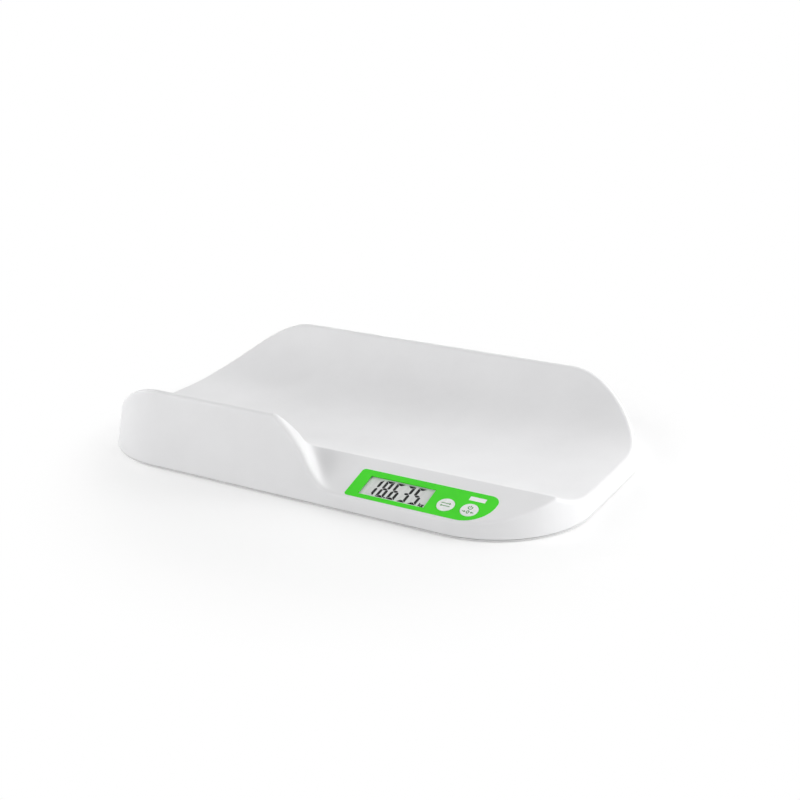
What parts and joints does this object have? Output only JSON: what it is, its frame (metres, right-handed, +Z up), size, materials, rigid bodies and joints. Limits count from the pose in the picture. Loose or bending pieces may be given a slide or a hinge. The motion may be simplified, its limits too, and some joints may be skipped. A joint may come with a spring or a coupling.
{
  "type": "baby weighing scale",
  "caption": "Baby scale: a white cradle with a high rear rim and a front wall that drops to a sloping green display panel with round buttons, on load-cell feet.",
  "frame": {"origin": "on the floor, in the middle of the plan, under the four foot pads", "axes": "+X along the cradle towards the display end, -Y towards the user at the display side, +Z up"},
  "size_m": [0.563, 0.333, 0.0821],
  "materials": {
    "casing_white": "injection-moulded ABS, fine polish",
    "base_white": "injection-moulded ABS, fine texture",
    "panel_green": "polycarbonate printed green on its back",
    "window_clear": "clear acrylic",
    "display_grey": "liquid crystal cell with a grey reflector",
    "holder_white": "moulded ABS",
    "contact_rubber": "layered silicone contact strip",
    "bar_white": "translucent white acrylic",
    "button_white": "moulded ABS",
    "switch_black": "moulded nylon and resin",
    "lamp": "resin",
    "board_green": "glass-fibre laminate with solder mask",
    "socket_cream": "moulded nylon",
    "steel": "plated steel",
    "gauge_film": "polyimide film",
    "foot_grey": "moulded ABS",
    "pad_rubber": "soft rubber",
    "lead_sleeve": "PVC sleeve",
    "battery_jacket": "plain printed jacket",
    "contact_nickel": "nickel-plated spring steel"
  },
  "bodies": {
    "casing": {"base_cover": "base_white", "battery_cell_1": "battery_jacket", "battery_cell_2": "battery_jacket", "battery_cell_3": "battery_jacket", "battery_cell_4": "battery_jacket", "battery_lead": "lead_sleeve", "board_screws": "steel", "case_screws": "steel", "cell_clamp_front_left": "holder_white", "cell_clamp_front_right": "holder_white", "cell_clamp_rear_left": "holder_white", "cell_clamp_rear_right": "holder_white", "chip_cover": "switch_black", "clamp_screws": "steel", "contact_plates": "contact_nickel", "contact_springs": "contact_nickel", "contact_strip": "contact_rubber", "control_board": "board_green", "display_panel": "panel_green", "indicator_led": "lamp", "indicator_window": "bar_white", "lcd_glass": "display_grey", "lcd_holder": "holder_white", "lcd_window": "window_clear", "lead_front_left": "lead_sleeve", "lead_front_right": "lead_sleeve", "lead_rear_left": "lead_sleeve", "lead_rear_right": "lead_sleeve", "load_cell_front_left": "steel", "load_cell_front_right": "steel", "load_cell_rear_left": "steel", "load_cell_rear_right": "steel", "quartz_can": "steel", "strain_gauges": "gauge_film", "switch_tare": "switch_black", "switch_unit": "switch_black", "tray_shell": "casing_white", "wire_sockets": "socket_cream"},
    "unit_key": {"button_unit": "button_white", "plunger_unit": "switch_black"},
    "tare_key": {"button_tare": "button_white", "plunger_tare": "switch_black"},
    "battery_lid": {"battery_door": "base_white"},
    "foot_front_left": {"foot_cup_front_left": "foot_grey", "foot_pad_front_left": "pad_rubber", "cell_tongue_front_left": "steel"},
    "foot_front_right": {"foot_cup_front_right": "foot_grey", "foot_pad_front_right": "pad_rubber", "cell_tongue_front_right": "steel"},
    "foot_rear_left": {"foot_cup_rear_left": "foot_grey", "foot_pad_rear_left": "pad_rubber", "cell_tongue_rear_left": "steel"},
    "foot_rear_right": {"foot_cup_rear_right": "foot_grey", "foot_pad_rear_right": "pad_rubber", "cell_tongue_rear_right": "steel"}
  },
  "joints": [
    {"name": "unit_press", "type": "slide", "parent": "casing", "child": "unit_key", "axis": [0, 0.3007, -0.9537], "range_m": [0, 0.0008], "stiffness_N_per_m": 1000, "springref_m": -0.0008},
    {"name": "tare_press", "type": "slide", "parent": "casing", "child": "tare_key", "axis": [0, 0.3007, -0.9537], "range_m": [0, 0.0008], "stiffness_N_per_m": 1000, "springref_m": -0.0008},
    {"name": "foot_front_left_load", "type": "slide", "parent": "casing", "child": "foot_front_left", "axis": [0, 0, 1], "range_m": [0, 0.0005], "stiffness_N_per_m": 12000, "springref_m": -0.001},
    {"name": "foot_front_right_load", "type": "slide", "parent": "casing", "child": "foot_front_right", "axis": [0, 0, 1], "range_m": [0, 0.0005], "stiffness_N_per_m": 12000, "springref_m": -0.001},
    {"name": "foot_rear_left_load", "type": "slide", "parent": "casing", "child": "foot_rear_left", "axis": [0, 0, 1], "range_m": [0, 0.0005], "stiffness_N_per_m": 12000, "springref_m": -0.001},
    {"name": "foot_rear_right_load", "type": "slide", "parent": "casing", "child": "foot_rear_right", "axis": [0, 0, 1], "range_m": [0, 0.0005], "stiffness_N_per_m": 12000, "springref_m": -0.001},
    {"name": "battery_lid_hinge", "type": "hinge", "parent": "casing", "child": "battery_lid", "pos_m": [-0.08, -0.0793, 0.006], "axis": [1, 0, 0], "range_deg": [0, 80]}
  ]
}
